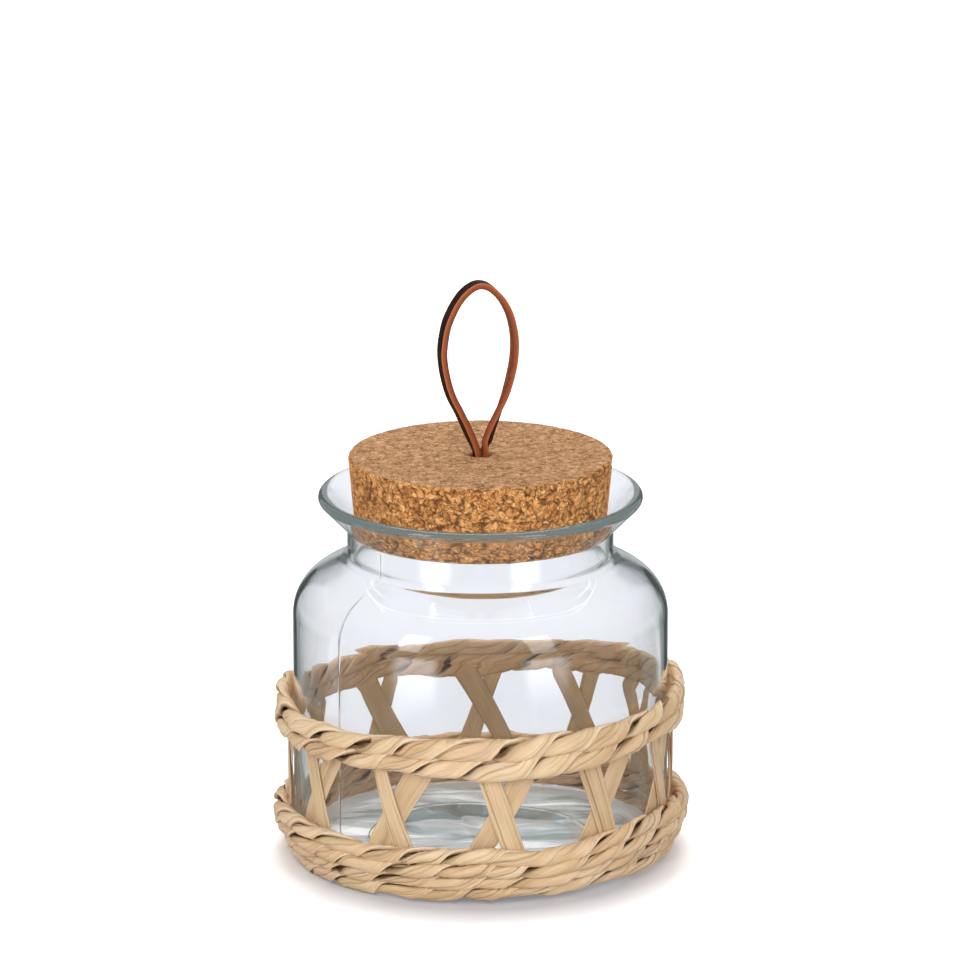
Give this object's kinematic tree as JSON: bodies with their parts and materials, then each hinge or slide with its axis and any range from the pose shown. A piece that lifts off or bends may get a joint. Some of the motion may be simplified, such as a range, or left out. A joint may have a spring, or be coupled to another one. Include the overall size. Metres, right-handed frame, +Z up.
{
  "type": "glass jar with cork lid",
  "caption": "Clear glass storage jar with a flared collar, tapered cork stopper with a leather pull loop, and a woven leaf cage round its lower half.",
  "frame": {"origin": "centre of the foot ring, on the table", "axes": "+Z up along the jar's axis; -Y towards the pictured side"},
  "size_m": [0.1538, 0.1538, 0.2199],
  "materials": {
    "glass": "polished, clear",
    "cork": "agglomerated cork, matt",
    "leather": "brown grain side, raw tan edge",
    "leaf_twine": "dried twisted leaf, satin",
    "leaf_strip": "dried flat leaf, satin"
  },
  "bodies": {
    "jar": {"glass_jar": "glass", "top_course_1": "leaf_twine", "top_course_2": "leaf_twine", "base_course_1": "leaf_twine", "base_course_2": "leaf_twine", "base_course_3": "leaf_twine", "base_course_4": "leaf_twine", "strip_left_1": "leaf_strip", "strip_left_2": "leaf_strip", "strip_left_3": "leaf_strip", "strip_left_4": "leaf_strip", "strip_left_5": "leaf_strip", "strip_left_6": "leaf_strip", "strip_left_7": "leaf_strip", "strip_left_8": "leaf_strip", "strip_left_9": "leaf_strip", "strip_left_10": "leaf_strip", "strip_left_11": "leaf_strip", "strip_left_12": "leaf_strip", "strip_right_1": "leaf_strip", "strip_right_2": "leaf_strip", "strip_right_3": "leaf_strip", "strip_right_4": "leaf_strip", "strip_right_5": "leaf_strip", "strip_right_6": "leaf_strip", "strip_right_7": "leaf_strip", "strip_right_8": "leaf_strip", "strip_right_9": "leaf_strip", "strip_right_10": "leaf_strip", "strip_right_11": "leaf_strip", "strip_right_12": "leaf_strip"},
    "lid": {"cork_lid": "cork"},
    "strap": {"strap_shank": "leather", "strap_knot": "leather"},
    "loop": {"strap_loop": "leather"}
  },
  "joints": [
    {"name": "lid_lift", "type": "slide", "parent": "jar", "child": "lid", "axis": [0, 0, 1], "range_m": [0, 0.1]},
    {"name": "strap_swivel", "type": "hinge", "parent": "lid", "child": "strap", "pos_m": [0, 0, 0.15293], "axis": [0, 0, 1], "continuous": true},
    {"name": "loop_tilt", "type": "hinge", "parent": "strap", "child": "loop", "pos_m": [0, 0, 0.15604], "axis": [0.9703, 0.2419, 0], "range_deg": [-75, 75], "stiffness_Nm_per_rad": 0.01}
  ]
}
